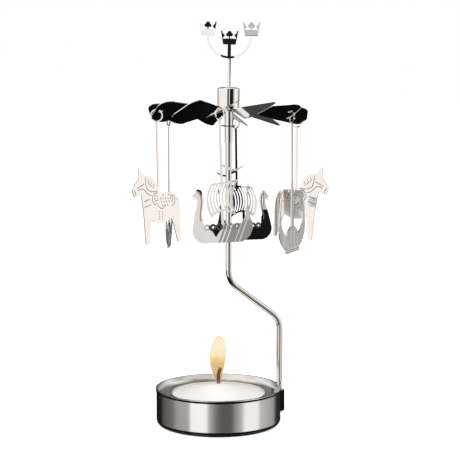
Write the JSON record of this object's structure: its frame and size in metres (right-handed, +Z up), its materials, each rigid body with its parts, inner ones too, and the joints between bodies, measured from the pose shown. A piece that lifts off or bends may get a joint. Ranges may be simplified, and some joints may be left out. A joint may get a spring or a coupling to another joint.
{
  "type": "candle carousel",
  "caption": "Steel tealight cup with a bent wire stand that carries a free-turning bladed rotor hung with flat horse, ship and helmet pendants.",
  "frame": {"origin": "centre of the cup's underside, on the table", "axes": "+Z up, towards the topper; +X towards the foot of the wire stand"},
  "size_m": [0.0804, 0.0674, 0.159],
  "materials": {
    "brushed_steel": "brushed",
    "wire_steel": "polished",
    "cap_steel": "polished",
    "mirror_steel": "polished",
    "needle_steel": "hardened",
    "seat_brass": "turned",
    "tin": "plain",
    "tealight_aluminium": "satin",
    "wax": "smooth wax",
    "wick_cotton": "charred cotton"
  },
  "bodies": {
    "stand": {"cup": "brushed_steel", "stand_rod": "wire_steel", "pivot_sleeve": "cap_steel", "pivot_needle": "needle_steel"},
    "head": {"bearing_cap": "cap_steel", "bearing_seat": "seat_brass", "rotor": "mirror_steel", "topper": "mirror_steel"},
    "ship_front": {"front_ship": "mirror_steel"},
    "helmet_right": {"right_helmet": "mirror_steel"},
    "horse_right": {"right_horse": "mirror_steel"},
    "ship_back": {"back_ship": "mirror_steel"},
    "helmet_left": {"left_helmet": "mirror_steel"},
    "horse_left": {"left_horse": "mirror_steel"},
    "tealight": {"tealight_cup": "tealight_aluminium", "wax": "wax", "wick": "wick_cotton", "wick_sustainer": "tin"}
  },
  "joints": [
    {"name": "rotor_spin", "type": "hinge", "parent": "stand", "child": "head", "pos_m": [0.0043, 0, 0.13035], "axis": [0, 0, 1], "continuous": true},
    {"name": "front_ship_swing", "type": "hinge", "parent": "head", "child": "ship_front", "pos_m": [-0.0095, -0.02727, 0.12394], "axis": [-0.4848, 0.8746, 0], "range_deg": [-12, 25]},
    {"name": "right_helmet_swing", "type": "hinge", "parent": "head", "child": "helmet_right", "pos_m": [0.02038, -0.02562, 0.12237], "axis": [-0.9998, 0.0175, 0], "range_deg": [-12, 25]},
    {"name": "right_horse_swing", "type": "hinge", "parent": "head", "child": "horse_right", "pos_m": [0.03371, 0.00108, 0.11967], "axis": [-0.515, -0.8572, 0], "range_deg": [-12, 25]},
    {"name": "back_ship_swing", "type": "hinge", "parent": "head", "child": "ship_back", "pos_m": [0.01717, 0.02595, 0.11854], "axis": [0.4848, -0.8746, 0], "range_deg": [-12, 25]},
    {"name": "left_helmet_swing", "type": "hinge", "parent": "head", "child": "helmet_left", "pos_m": [-0.01255, 0.02421, 0.12011], "axis": [0.9998, -0.0175, 0], "range_deg": [-12, 25]},
    {"name": "left_horse_swing", "type": "hinge", "parent": "head", "child": "horse_left", "pos_m": [-0.02588, -0.00231, 0.12281], "axis": [0.515, 0.8572, 0], "range_deg": [-12, 25]},
    {"name": "tealight_lift", "type": "slide", "parent": "stand", "child": "tealight", "axis": [0, 0, 1], "range_m": [0, 0.02]}
  ]
}
